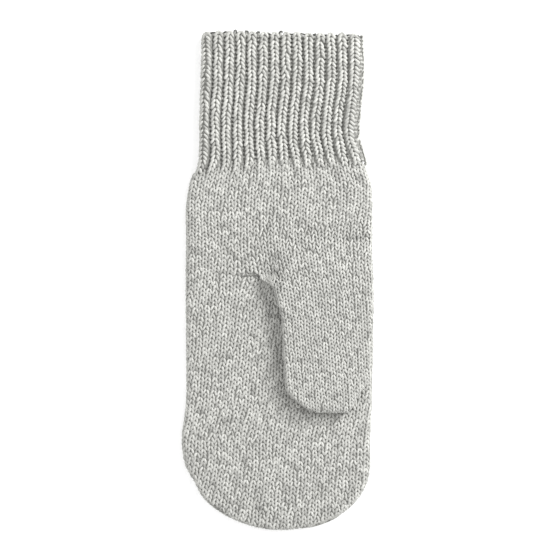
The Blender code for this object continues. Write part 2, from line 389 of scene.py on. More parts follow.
@dataclass(frozen=True)
class Trough:
    """The low strip of the palm along the thumb."""

    depth: float = 0.0008
    x: float = -0.0020
    width: float = 0.0060
    top_y: float = 0.0020
    top_fade: float = 0.010
    low_y: float = -0.0550
    low_fade: float = 0.020

    def at(self, plan: np.ndarray) -> np.ndarray:
        """Returns how deep the trough is at places of the plan."""
        x, y = plan.T
        length = ease((self.top_y - y) / self.top_fade) * ease((y - self.low_y) / self.low_fade)
        return self.depth * length * bell(x - self.x, self.width)


TROUGH = Trough()
TIP_DROP = 0.0006  # the palm gets thinner to its tip
TIP_DROP_Y = -0.062
TIP_DROP_LENGTH = 0.036


def soft_waves(plan: np.ndarray) -> np.ndarray:
    """Returns the low waves of cloth that has been laid flat."""
    return sum(wave.at(*plan.T) for wave in CLOTH_WAVES)


def palm_relief(plan: np.ndarray) -> np.ndarray:
    """Measures how far the palm stands above its flat form.

    Args:
        plan: Places in the plan, one row each.

    Returns:
        The height of each: soft waves, less the hollow, the trough, the seam and the drop to the tip.
    """
    tip = TIP_DROP * ease((TIP_DROP_Y - plan[:, 1]) / TIP_DROP_LENGTH)
    return soft_waves(plan) - HOLLOW.at(plan) - TROUGH.at(plan) - SEAM_DENT.at(plan) - tip


@dataclass(frozen=True)
class Cloth:
    """The sizes that all the knitting shares."""

    yarn: float = 0.0011  # width of a leg of a stitch, in a full wale
    yarn_height: float = 0.00076
    hand_height: float = 0.0050
    thumb_height: float = 0.0048
    gap: float = 0.0003  # between the palm and the thumb

    @property
    def sink(self) -> float:
        """How far the middle of the yarn lies under the cloth's outer face."""
        return self.yarn_height / 2

    @property
    def hand_radius(self) -> float:
        """The radius of the hand's folds, at the middle of the yarn."""
        return self.hand_height / 2 - self.sink

    @property
    def thumb_radius(self) -> float:
        """The radius of the thumb's folds, at the middle of the yarn."""
        return self.thumb_height / 2 - self.sink

    @property
    def thumb_middle(self) -> float:
        """The height of the middle of the thumb."""
        return self.hand_height + self.gap + self.thumb_height / 2

    @property
    def thumb_top(self) -> float:
        """The height of the thumb's outer face."""
        return self.thumb_middle + self.thumb_height / 2


CLOTH = Cloth()


class Side(Enum):
    """Which sheet of a flattened tube a surface is."""

    TOP = 1
    UNDER = -1


class Sheet:
    """A laid sheet of cloth, which takes places of the opened-out cloth to points in space."""

    side: Side

    def place(self, flat: np.ndarray) -> np.ndarray:
        """Lays opened-out places, one row each, on the cloth."""
        raise NotImplementedError

    def normal(self, flat: np.ndarray) -> np.ndarray:
        """Finds the way out of the cloth.

        Args:
            flat: Opened-out places.

        Returns:
            The way out at each, one long.
        """
        here = self.place(flat)
        right = self.place(flat + (NORMAL_STEP, 0.0)) - here
        up = self.place(flat + (0.0, NORMAL_STEP)) - here
        normal = np.cross(right, up) * self.side.value
        return normal / np.linalg.norm(normal, axis=1, keepdims=True)

    def behind(self, flat: np.ndarray, depth: float) -> np.ndarray:
        """Returns the points that lie a depth behind the cloth."""
        return self.place(flat) - self.normal(flat) * depth


@dataclass(frozen=True, kw_only=True)
class FoldedCloth(Sheet):
    """Cloth that is folded under along its outline."""

    outline: Outline
    radius: float  # of the fold
    side: Side = Side.TOP

    def depth(self, flat: np.ndarray) -> np.ndarray:
        """Returns how far opened-out places are from the middle of the fold."""
        return self.outline.depth(flat)[0] + QUARTER_GROWTH * self.radius

    def fold(self, flat: np.ndarray) -> tuple[np.ndarray, np.ndarray, np.ndarray]:
        """Finds where opened-out places come round the fold.

        Args:
            flat: The places, one row each.

        Returns:
            How far each is from the middle of the fold, its angle up the fold, and its move in the plan.
        """
        depth, inward = self.outline.depth(flat)
        depth = depth + QUARTER_GROWTH * self.radius
        angle = np.clip(depth / self.radius, -math.pi / 2, math.pi / 2)
        inset = self.radius * (1 - np.cos(angle))
        shift = np.where(angle < math.pi / 2, inset + QUARTER_GROWTH * self.radius - depth, 0.0)
        return depth, angle, inward * shift[:, None]


@dataclass(frozen=True, kw_only=True)
class FoldedSheet(FoldedCloth):
    """One sheet of a flattened tube, from the fold at one edge to the fold at the other."""

    middle: float
    relief: Callable[[np.ndarray], np.ndarray] | None = None
    crown: float = 0.0  # how much lower the cloth lies beside its folds than in its middle
    crown_width: float = 0.009

    def place(self, flat: np.ndarray) -> np.ndarray:
        """Lays places of the opened-out cloth on the tube.

        Args:
            flat: Plan places as if the fold was opened out, one row each.

        Returns:
            The points in space.
        """
        depth, angle, move = self.fold(flat)
        plan = flat + move
        outer = np.maximum(np.sin(angle), 0.0)
        rise = self.radius * np.sin(angle) - self.crown * (1 - ease(depth / self.crown_width)) * outer
        if self.relief is not None:
            rise = rise + self.relief(plan) * outer
        return np.column_stack([plan, self.middle + self.side.value * rise])


@dataclass(frozen=True, kw_only=True)
class ThumbFront(FoldedCloth):
    """The face of the thumb that shows. It rises out of the palm and folds under at its edges."""

    sink: float  # below the thumb's outer face
    rise_length: float = 0.0164
    late_rise: float = 0.0095  # how much further down the rise starts beside the crotch
    late_width: float = 0.0140
    right_x: float = 0.0384
    middle_lean: float = 0.12  # of the line between what belongs to the left edge and to the right one
    joined_y: float = -0.0030  # from here up the left edge passes into the palm
    joined_length: float = 0.0060
    level_y: float = -0.0040  # from here up the right edge comes down to the hand's
    level_length: float = 0.0140
    flank: float = 5.0  # width of the slope where the left edge has passed into the palm, in radii

    def place(self, flat: np.ndarray) -> np.ndarray:
        """Lays places of the opened-out cloth on the thumb.

        Args:
            flat: Plan places as if the fold was opened out, one row each.

        Returns:
            The points in space.
        """
        depth, angle, move = self.fold(flat)
        x, y = flat.T
        left = x < 0.5 * (CROTCH_X + self.right_x) + self.middle_lean * (CROTCH_Y - y)
        joined = np.where(left, ease((y - self.joined_y) / self.joined_length), 0.0)
        plan = flat + move * (1 - joined)[:, None]
        start = SLIT_TOP_Y - self.late_rise * (1 - ease((x - CROTCH_X) / self.late_width))
        top = mix(CLOTH.hand_height, CLOTH.thumb_top, ease((start - y) / self.rise_length)) - self.sink
        low_left = mix(CLOTH.thumb_middle, CLOTH.hand_height - self.sink, joined)
        level = ease((y - self.level_y) / self.level_length)
        low = np.where(left, low_left, mix(CLOTH.thumb_middle, CLOTH.hand_height / 2, level))
        profile = mix(np.sin(angle), ease(depth / (self.flank * self.radius)), joined)
        below = np.minimum(profile, 0.0) * self.radius
        raised = np.maximum(profile, 0.0)
        return np.column_stack([plan, low + raised * (top + soft_waves(plan) - low) + below])


@dataclass(frozen=True)
class Flow:
    """How the wales and courses run over the mitten, in the plan of the opened-out cloth."""

    top_folds: tuple = (0.40, 29.22)  # wales at the left and right fold where the ribs end
    under_folds: tuple = (-0.40, 30.78)
    spread_length: float = 0.030  # below the ribs, until the wales take up the whole width
    palm_lean: float = 0.096  # how far the palm's wales lean to the left, for each length down
    palm_lean_y: float = 0.004
    palm_lean_bend: float = 0.008
    thumb_lean: float = 0.065
    thumb_lean_y: float = -0.010
    thumb_lean_bend: float = 0.006
    thumb_lean_wale: float = 0.0022
    tip_leans: tuple = (0.24, 0.06)  # of the left and the right side of the tip, towards its middle
    tip_lean_x: float = -0.034
    tip_lean_width: float = 0.045
    pull_wales: float = 2.6  # how far the corner of the thumb's opening pulls at the palm
    pull_length: float = 0.0050
    palm_rows: float = -0.14  # slope of the rows on the palm, and on the thumb
    thumb_rows: float = 0.18
    slope_length: float = 0.044  # below the join, until the rows have that slope
    tip_slope: float = 0.07
    tip_slope_y: float = -0.050
    tip_slope_length: float = 0.045
    right_share: float = 0.4  # of the palm's slope, where its rows don't run on into the thumb
    row_bend: float = 0.004
    fork_length: float = 0.001
    seam_left_x: float = -0.0150
    seam_left_fade: float = 0.0015
    seam_right_x: float = -0.0055
    seam_right_fade: float = 0.0020
    seam_part: float = 0.0003
    seam_step: float = 0.0004
    seam_reach: float = 0.0026
    back_slope_length: float = 0.06
    thumb_row_y: float = 0.008  # from here down the thumb's courses are closer
    thumb_span: tuple = (-0.0350, -0.0120)  # where the thumb's edges set how far apart its wales are
    thumb_own_y: float = 0.020  # from here down the thumb's wales leave the palm's
    thumb_own_length: float = 0.032

    @staticmethod
    def edges(rows: np.ndarray, y: np.ndarray) -> tuple[np.ndarray, np.ndarray]:
        """Reads a table's edges as they are in the opened-out cloth.

        Args:
            rows: The table: y, left and right.
            y: The heights to read.

        Returns:
            The left and right x at each.
        """
        edges = read_curve(rows, y)
        grown = QUARTER_GROWTH * CLOTH.hand_radius
        return edges[..., 0] - grown, edges[..., 1] + grown

    def folds(self, y: np.ndarray, side: Side) -> tuple[np.ndarray, np.ndarray]:
        """Finds which wales lie on the folds.

        Args:
            y: Heights in the plan.
            side: The sheet.

        Returns:
            The wales on the left and on the right fold at each height.
        """
        spread = ease((JOIN_Y - y) / self.spread_length)
        turned = side.value * self.palm_lean * ramp(self.palm_lean_y - y, self.palm_lean_bend) / WALE
        left, right = self.top_folds if side is Side.TOP else self.under_folds
        return mix(left, 0.0, spread) + turned, mix(right, float(WALES), spread) + turned

    def hand_x(self, wale: np.ndarray, y: np.ndarray, side: Side) -> np.ndarray:
        """Finds where wales of the hand run.

        Args:
            wale: The wales.
            y: The heights at which they are asked for.
            side: The sheet.

        Returns:
            The x of each.
        """
        level = np.maximum(y, TIP_START_Y)
        left, right = self.edges(HAND_EDGES, level)
        first, last = self.folds(level, side)
        x = left + (wale - first) / (last - first) * (right - left)
        x = x + sum(wave.at(wale, y) for wave in WALE_SWAY)
        lean = mix(*self.tip_leans, np.clip((x - self.tip_lean_x) / self.tip_lean_width, 0, 1))
        return x + side.value * lean * np.minimum(y - TIP_START_Y, 0.0)

    def palm_x(self, wale: np.ndarray, y: np.ndarray) -> np.ndarray:
        """Finds where wales of the palm run, with the pull of the corner of the thumb's opening.

        Args:
            wale: The wales.
            y: The heights at which they are asked for.

        Returns:
            The x of each.
        """
        corner = np.maximum(y, CROTCH_Y)
        edge = np.full_like(corner, float(THUMB_FIRST_WALE))
        pull = self.thumb_x(edge - THUMB_FIRST_WALE, corner) - self.hand_x(edge, corner, Side.TOP)
        near = bell(wale - THUMB_FIRST_WALE, self.pull_wales)
        below = bell(np.maximum(CROTCH_Y - y, 0.0), self.pull_length)
        return self.hand_x(wale, y, Side.TOP) + pull * near * below

    def thumb_x(self, wale: np.ndarray, y: np.ndarray) -> np.ndarray:
        """Finds where wales of the thumb run; they count from the crotch.

        Args:
            wale: The wales.
            y: The heights at which they are asked for.

        Returns:
            The x of each.
        """
        left, right = self.edges(THUMB_EDGES, np.clip(y, *self.thumb_span))
        lost = 1 - wale / THUMB_WALES
        rolled = self.thumb_lean * ramp(self.thumb_lean_y - y, self.thumb_lean_bend) / self.thumb_lean_wale
        own = left + (wale - lost + rolled) * (right - left) / THUMB_WALES
        palm = self.hand_x(wale + THUMB_FIRST_WALE, y, Side.TOP)
        return mix(palm, own, ease((self.thumb_own_y - y) / self.thumb_own_length))

    def row_rise(self, x: np.ndarray, y: np.ndarray, forked: np.ndarray | float) -> np.ndarray:
        """Measures how far rows lie above their height at the crotch's x.

        Args:
            x: Places across.
            y: Heights of the rows at the crotch's x.
            forked: 1 where the rows right of the crotch run on into the thumb.

        Returns:
            The rise of each.
        """
        bent = ease((JOIN_Y - y) / self.slope_length)
        tip = self.tip_slope * ease((self.tip_slope_y - y) / self.tip_slope_length)
        left = mix(JOIN_SLOPE, self.palm_rows, bent) + tip
        right = mix(self.right_share * left, mix(JOIN_SLOPE, self.thumb_rows, bent), forked)
        off = x - CROTCH_X
        bend = np.hypot(off, self.row_bend) - self.row_bend
        return 0.5 * (left + right) * off + 0.5 * (right - left) * bend

    def seam_gap(self, x: np.ndarray, y: np.ndarray) -> np.ndarray:
        """Measures how far rows part at the short seam beside the crotch.

        Args:
            x: Places across.
            y: Their heights.

        Returns:
            How far each is moved along.
        """
        left = ease((x - self.seam_left_x) / self.seam_left_fade)
        right = ease((self.seam_right_x - x) / self.seam_right_fade)
        away = y - SEAM_Y
        return self.seam_part * left * right * np.tanh(away / self.seam_step) * bell(away, self.seam_reach)

    def hand(self, wale: np.ndarray, course: np.ndarray) -> np.ndarray:
        """Finds the opened-out places of stitches of the palm.

        Args:
            wale: Their wales.
            course: Their courses.

        Returns:
            The places, one row each.
        """
        y = JOIN_Y - COURSE * course
        x = self.palm_x(wale, y)
        forked = ease((y - CROTCH_Y) / self.fork_length)
        for _ in range(2):
            height = y + self.row_rise(x, y, forked)
            x = self.palm_x(wale, height)
        return np.stack([x, height + self.seam_gap(x, height)], axis=-1)

    def back(self, wale: np.ndarray, course: np.ndarray) -> np.ndarray:
        """Finds the opened-out places of stitches of the hand's under sheet.

        Args:
            wale: Their wales.
            course: Their courses.

        Returns:
            The places, one row each.
        """
        y = JOIN_Y - COURSE * course
        x = self.hand_x(wale, y, Side.UNDER)
        height = y + JOIN_SLOPE * (x - CROTCH_X) * (1 - ease((JOIN_Y - y) / self.back_slope_length))
        return np.stack([self.hand_x(wale, height, Side.UNDER), height], axis=-1)

    def thumb(self, wale: np.ndarray, course: np.ndarray) -> np.ndarray:
        """Finds the opened-out places of stitches of the thumb.

        Args:
            wale: Their wales, which count from the crotch.
            course: Their courses.

        Returns:
            The places, one row each.
        """
        y = JOIN_Y - COURSE * course
        start = self.thumb_row_y
        y = np.where(y < start, start + (y - start) * THUMB_COURSE / COURSE, y)
        x = self.thumb_x(wale, y)
        for _ in range(2):
            height = y + self.row_rise(x, y, 1.0)
            x = self.thumb_x(wale, height)
        return np.stack([x, height], axis=-1)


FLOW = Flow()


@dataclass(frozen=True)
class StrandForm:
    """The template of one bit of yarn: a spindle of few faces, its points and faces ready to be copied."""

    points: np.ndarray
    faces: list[np.ndarray]
    corner_uv: list[np.ndarray]

    @classmethod
    def spindle(cls, sides: int, rings: int, bluntness: float = 2.8) -> "StrandForm":
        """Models the spindle as a small globe, and reads it.

        Args:
            sides: Faces round it.
            rings: Faces along it.
            bluntness: Of its ends: 2 is round.

        Returns:
            The template. Its long way is local z, from -1 to 1.
        """
        bpy.ops.object.select_all(action="DESELECT")
        bpy.ops.mesh.primitive_uv_sphere_add(segments=sides, ring_count=rings, radius=1.0)
        globe = bpy.context.object
        mesh = globe.data
        points = np.array([v.co for v in mesh.vertices])
        along = np.clip(np.abs(points[:, 2]), 0, 0.999)
        fuller = (1 - along**bluntness) ** (1 / bluntness) / np.sqrt(1 - along**2)
        points[:, :2] *= fuller[:, None]
        layer = mesh.uv_layers.active.data
        faces, corners = [], []
        for polygon in mesh.polygons:
            faces.append(np.array(polygon.vertices))
            corners.append(np.array([layer[i].uv for i in polygon.loop_indices]))
        bpy.data.objects.remove(globe, do_unlink=True)
        bpy.data.meshes.remove(mesh)
        return cls(points, faces, corners)


@dataclass
class Strands:
    """Many bits of yarn, as one joined mesh in the making."""

    form: StrandForm
    points: list[np.ndarray] = field(default_factory=list)
    yarn_uv: list[np.ndarray] = field(default_factory=list)

    def levels(self) -> tuple[np.ndarray, np.ndarray]:
        """Returns the levels of the template, and which one each of its points is on."""
        return np.unique(np.round(self.form.points[:, 2], 5), return_inverse=True)

    def shares(self) -> np.ndarray:
        """Returns the share of a strand's length at each level of its template."""
        return 0.5 + 0.5 * self.levels()[0]

    def add(
        self,
        path: np.ndarray,
        normal: np.ndarray,
        half_width: np.ndarray,
        half_height: np.ndarray,
        yarn_place: np.ndarray,
    ) -> None:
        """Adds strands along paths.

        Args:
            path: Points along each strand: strands, then one for each level of the template, then xyz.
            normal: The way out of the cloth at each strand.
            half_width: Half the width of each strand, in the cloth.
            half_height: Half its height, out of the cloth.
            yarn_place: Where each strand lies along its yarn and which row of yarn it is, for the colouring.
        """
        which = self.levels()[1]
        run = np.gradient(path, axis=1)
        run /= np.linalg.norm(run, axis=2, keepdims=True)
        across = np.cross(np.broadcast_to(normal[:, None, :], run.shape), run)
        across /= np.linalg.norm(across, axis=2, keepdims=True)
        out = np.cross(run, across)
        side, up = self.form.points[:, 0], self.form.points[:, 1]
        points = (
            path[:, which]
            + across[:, which] * (side * half_width[:, None])[..., None]
            + out[:, which] * (up * half_height[:, None])[..., None]
        )
        self.points.append(points.reshape(-1, 3))
        along = np.repeat(yarn_place[:, None, :], len(self.form.points), axis=1).copy()
        along[..., 0] += QUARTER_STITCH * self.form.points[:, 2]
        self.yarn_uv.append(along.reshape(-1, 2))

    def build(self, name: str, material: bpy.types.Material) -> bpy.types.Object:
        """Makes the joined mesh.

        Args:
            name: The piece's name.
            material: Its finish.

        Returns:
            The piece.
        """
        points = np.concatenate(self.points)
        uv = np.concatenate(self.yarn_uv)
        count = len(points) // len(self.form.points)
        corners = np.concatenate(self.form.faces)
        sizes = np.array([len(face) for face in self.form.faces])
        starts = np.concatenate([[0], np.cumsum(sizes)[:-1]])
        shift = np.arange(count)[:, None]
        all_corners = (corners[None] + shift * len(self.form.points)).ravel()
        all_starts = (starts[None] + shift * len(corners)).ravel()
        mesh = bpy.data.meshes.new(name)
        mesh.vertices.add(len(points))
        mesh.vertices.foreach_set("co", points.astype(np.float32).ravel())
        mesh.loops.add(len(all_corners))
        mesh.loops.foreach_set("vertex_index", all_corners.astype(np.int32))
        mesh.polygons.add(len(all_starts))
        mesh.polygons.foreach_set("loop_start", all_starts.astype(np.int32))
        mesh.update(calc_edges=True)
        mesh.shade_smooth()
        ply = np.tile(np.concatenate(self.form.corner_uv), (count, 1))
        for layer, values in (("yarn", uv[all_corners]), ("ply", ply)):
            mesh.uv_layers.new(name=layer).data.foreach_set("uv", values.astype(np.float32).ravel())
        mesh.materials.append(material)
        piece = bpy.data.objects.new(name, mesh)
        bpy.context.scene.collection.objects.link(piece)
        return piece


@dataclass(frozen=True)
class Tools:
    """What every piece of knitting is made with."""

    fine: StrandForm  # for what shows from above
    plain: StrandForm
    draw: np.random.Generator  # source of the small differences between stitches


@dataclass(frozen=True)
class StitchShape:
    """The two legs of a knit stitch, in shares of a wale across and of a course along."""

    top_across: float = 0.11
    low_across: float = 0.39
    top_along: float = 0.70
    low_along: float = -0.72
    top_dip: float = 0.00042  # how far a leg's ends tuck in under its neighbours
    low_dip: float = 0.00018
    width: float = 1.0
    jitter: float = 0.055
    width_jitter: float = 0.09

    def add(
        self,
        strands: Strands,
        where: Callable[[np.ndarray, np.ndarray], np.ndarray],
        sheet: Sheet,
        cells: np.ndarray,
        wale_width: float,
        draw: np.random.Generator,
    ) -> None:
        """Adds both legs of the stitches of a set of cells.

        Args:
            strands: What the legs are added to.
            where: Gives the opened-out place for a wale and course.
            sheet: The cloth that they lie on.
            cells: The wale and course of each stitch's middle.
            wale_width: From one wale to the next.
            draw: Source of the small differences between stitches.
        """
        share = strands.shares()
        count = len(cells)
        middle = cells + draw.normal(0, self.jitter, (count, 2))
        for leg in (-1, 1):
            wobble = draw.normal(0, self.jitter, (count, 1))
            across = leg * mix(self.low_across, self.top_across, ease(share))
            along = mix(self.low_along, self.top_along, share)
            wale = middle[:, :1] + across[None] + 0.5 * wobble
            course = middle[:, 1:] - along[None] + 0.5 * wobble
            flat = where(wale.ravel(), course.ravel())
            path = sheet.place(flat).reshape(count, len(share), 3)
            normal = sheet.normal(flat.reshape(count, len(share), 2)[:, len(share) // 2])
            bow = -mix(self.low_dip, self.top_dip, share) * (2 * share - 1) ** 2
            path = path + normal[:, None, :] * bow[None, :, None]
            size = self.width * (1 + draw.normal(0, self.width_jitter, count))
            half_width = 0.5 * CLOTH.yarn * size * wale_width / WALE
            half_height = 0.5 * CLOTH.yarn_height * size
            yarn_place = np.stack([middle[:, 0] + QUARTER_STITCH * leg, cells[:, 1]], axis=1)
            strands.add(path, normal, half_width, half_height, yarn_place)


PLAIN_STITCH = StitchShape()
RIB_STITCH = StitchShape(
    top_across=0.085, low_across=0.33, top_along=-0.70, low_along=0.72, width=1.10, jitter=0.03
)


class Socket:
    """An output socket on which Python's operators add Math nodes."""

    def __init__(self, kit: "NodeKit", socket: bpy.types.NodeSocket) -> None:
        """Wraps a socket of a material's nodes."""
        self.kit, self.socket = kit, socket

    def _math(self, operation: str, other: object) -> "Socket":
        """Adds a Math node."""
        return self.kit.node("ShaderNodeMath", {"operation": operation}, {0: self, 1: other})

    def __add__(self, other: object) -> "Socket":
        """Adds a value or socket."""
        return self._math("ADD", other)

    def __mul__(self, other: object) -> "Socket":
        """Multiplies by a value or socket."""
        return self._math("MULTIPLY", other)


class NodeKit:
    """Adds the nodes of one material."""

    def __init__(self, name: str) -> None:
        """Starts an empty material.

        Args:
            name: The material's name.
        """
        self.material = bpy.data.materials.new(name)
        self.material.use_nodes = True
        self.tree = self.material.node_tree
        self.tree.nodes.clear()

    def node(self, kind: str, settings: dict, inputs: dict, output: int | str = 0) -> Socket:
        """Adds a node.

        Args:
            kind: The node's type.
            settings: Its own settings.
            inputs: Values or sockets, by socket name or number.
            output: Which output to return.

        Returns:
            The wrapped output.
        """
        made = self.tree.nodes.new(kind)
        for key, value in settings.items():
            setattr(made, key, value)
        for key, value in inputs.items():
            if isinstance(value, Socket):
                self.tree.links.new(value.socket, made.inputs[key])
            else:
                made.inputs[key].default_value = value
        return Socket(self, made.outputs[output])

    def noise(self, place: Socket, scale: float, detail: float, roughness: float = 0.5) -> Socket:
        """Adds a noise texture at places."""
        inputs = {"Vector": place, "Scale": scale, "Detail": detail, "Roughness": roughness}
        return self.node("ShaderNodeTexNoise", {}, inputs)

    def tones(self, value: Socket, stops: tuple) -> Socket:
        """Turns a value into colours.

        Args:
            value: The value, 0 to 1.
            stops: The colours with their places, which ascend.

        Returns:
            The colour.
        """
        colour = self.node("ShaderNodeValToRGB", {}, {"Fac": value})
        elements = colour.socket.node.color_ramp.elements
        while len(elements) < len(stops):
            elements.new(1.0)
        for element, (place, tone) in zip(elements, stops):
            element.position, element.color = place, tone
        return colour

    def bump(self, height: Socket, strength: float, distance: float) -> Socket:
        """Adds small relief to the way the surface faces."""
        return self.node("ShaderNodeBump", {}, {"Height": height, "Strength": strength, "Distance": distance})

    def finish(self, inputs: dict) -> bpy.types.Material:
        """Adds the surface and connects it to the material's output.

        Args:
            inputs: The surface's values or sockets, by name.

        Returns:
            The material.
        """
        output = self.tree.nodes.new("ShaderNodeOutputMaterial")
        self.tree.links.new(
            self.node("ShaderNodeBsdfPrincipled", {}, inputs).socket, output.inputs["Surface"]
        )
        return self.material


@dataclass(frozen=True)
class WoolYarn:
    """The finish of the yarn: heathered light grey wool, matt, with fine fibres."""

    name: str
    light: tuple = (0.555, 0.555, 0.527, 1.0)
    mid: tuple = (0.42, 0.42, 0.398, 1.0)
    dark: tuple = (0.25, 0.25, 0.236, 1.0)
    tone_stops: tuple = (0.32, 0.47, 0.60)
    streaks: tuple = (0.9, 1.2, 1.0)  # patches of tone for each stitch along the yarn, and for each row
    clumps: tuple = (1.0, 3.0, 0.6)  # scale, detail and roughness
    fibres: tuple = (1500.0, 2.0)  # scale and detail
    fibre_share: float = 0.20
    bump: tuple = (0.5, 0.0002)  # strength and distance
    roughness: float = 0.9
    sheen: float = 0.25
    sheen_roughness: float = 0.5
    specular: float = 0.2

    def material(self) -> bpy.types.Material:
        """Builds the material.

        Returns:
            The material.
        """
        kit = NodeKit(self.name)
        yarn = kit.node("ShaderNodeUVMap", {"uv_map": "yarn"}, {})
        place = kit.node("ShaderNodeTexCoord", {}, {}, "Object")
        streaks = kit.node("ShaderNodeMapping", {}, {"Vector": yarn, "Scale": self.streaks})
        clumps = kit.noise(streaks, *self.clumps)
        fibres = kit.noise(place, *self.fibres)
        tone = clumps * (1 - self.fibre_share) + fibres * self.fibre_share
        colour = kit.tones(tone, tuple(zip(self.tone_stops, (self.dark, self.mid, self.light))))
        return kit.finish(
            {
                "Base Color": colour,
                "Roughness": self.roughness,
                "Sheen Weight": self.sheen,
                "Sheen Roughness": self.sheen_roughness,
                "Specular IOR Level": self.specular,
                "Normal": kit.bump(fibres, *self.bump),
            }
        )


@dataclass(frozen=True)
class ShadedInnerWool:
    """The finish of the wool behind the stitches, which lies in their shade: it is made darker than the yarn,
    as painted shade.
    """

    name: str
    colour: tuple = (0.46, 0.46, 0.435, 1.0)
    deep: tuple = (0.32, 0.32, 0.30, 1.0)
    tone_stops: tuple = (0.35, 0.65)
    fibres: tuple = (900.0, 3.0)  # scale and detail
    bump: tuple = (0.6, 0.0003)  # strength and distance
    roughness: float = 0.95
    specular: float = 0.1

    def material(self) -> bpy.types.Material:
        """Builds the material.

        Returns:
            The material.
        """
        kit = NodeKit(self.name)
        place = kit.node("ShaderNodeTexCoord", {}, {}, "Object")
        fibres = kit.noise(place, *self.fibres)
        return kit.finish(
            {
                "Base Color": kit.tones(fibres, tuple(zip(self.tone_stops, (self.deep, self.colour)))),
                "Roughness": self.roughness,
                "Specular IOR Level": self.specular,
                "Normal": kit.bump(fibres, *self.bump),
            }
        )


YARN = WoolYarn("grey wool yarn")
# painted shade: the same wool as the rest, made near black for the loops that lie in the valleys of the
# cuff's edge
SHADED_EDGE_YARN = WoolYarn(
    "grey wool of the edge, painted shade",
    light=(0.17, 0.17, 0.160, 1.0),
    mid=(0.12, 0.12, 0.113, 1.0),
    dark=(0.08, 0.08, 0.075, 1.0),
)
# painted shade: the same wool as the ribs, made a little darker for the purl bumps in the shaded valleys
SHADED_PURL_YARN = WoolYarn(
    "grey wool between the ribs, painted shade",
    light=(0.54, 0.54, 0.51, 1.0),
    mid=(0.43, 0.43, 0.407, 1.0),
    dark=(0.27, 0.27, 0.256, 1.0),
)
# painted light: the same wool as the hand, made lighter on the ribs and edge loops of the cuff
LIT_CUFF_YARN = WoolYarn(
    "grey wool of the ribs, painted light",
    light=(0.59, 0.59, 0.56, 1.0),
    mid=(0.47, 0.47, 0.445, 1.0),
    dark=(0.29, 0.29, 0.273, 1.0),
)
# painted shade: a little darker than the yarn, for the gaps between the stitches of the hand and thumb
SHADED_BEHIND_KNIT = ShadedInnerWool("wool behind the plain knit, painted shade")
# painted shade: darker still, for the deep valleys between the ribs
SHADED_BEHIND_RIBS = ShadedInnerWool(
    "wool behind the ribs, painted shade", colour=(0.34, 0.34, 0.32, 1.0), deep=(0.22, 0.22, 0.207, 1.0)
)
# painted shade: the seam's strands are made dark to stand for the shade in the seam
SHADED_SEAM_WOOL = ShadedInnerWool("wool in the seam, painted shade", colour=(0.20, 0.20, 0.188, 1.0), deep=(0.13, 0.13, 0.122, 1.0))


def make_active(piece: bpy.types.Object) -> None:
    """Selects one piece only."""
    bpy.ops.object.select_all(action="DESELECT")
    piece.select_set(True)
    bpy.context.view_layer.objects.active = piece


def set_points(piece: bpy.types.Object, points: np.ndarray) -> None:
    """Moves all of a piece's points."""
    piece.data.vertices.foreach_set("co", points.astype(np.float32).ravel())
    piece.data.update()


def face_out(piece: bpy.types.Object) -> None:
    """Merges a piece's doubles and turns its faces outwards.

    Args:
        piece: The piece.
    """
    make_active(piece)
    bpy.ops.object.mode_set(mode="EDIT")
    bpy.ops.mesh.select_all(action="SELECT")
    bpy.ops.mesh.remove_doubles(threshold=0.00001)
    bpy.ops.mesh.normals_make_consistent(inside=False)
    bpy.ops.object.mode_set(mode="OBJECT")
    highest = max(piece.data.polygons, key=lambda polygon: polygon.center.z)
    if highest.normal.z < 0:
        piece.data.flip_normals()


def thicken(piece: bpy.types.Object, wall: float, material: bpy.types.Material) -> None:
    """Gives an open shell its wall, inwards, and its finish.

    Args:
        piece: The shell.
        wall: How thick it gets.
        material: The finish.
    """
    make_active(piece)
    solidify = piece.modifiers.new("wall", "SOLIDIFY")
    solidify.thickness = wall
    solidify.offset = -1.0
    bpy.ops.object.modifier_apply(modifier=solidify.name)
    piece.data.shade_smooth()
    piece.data.materials.append(material)


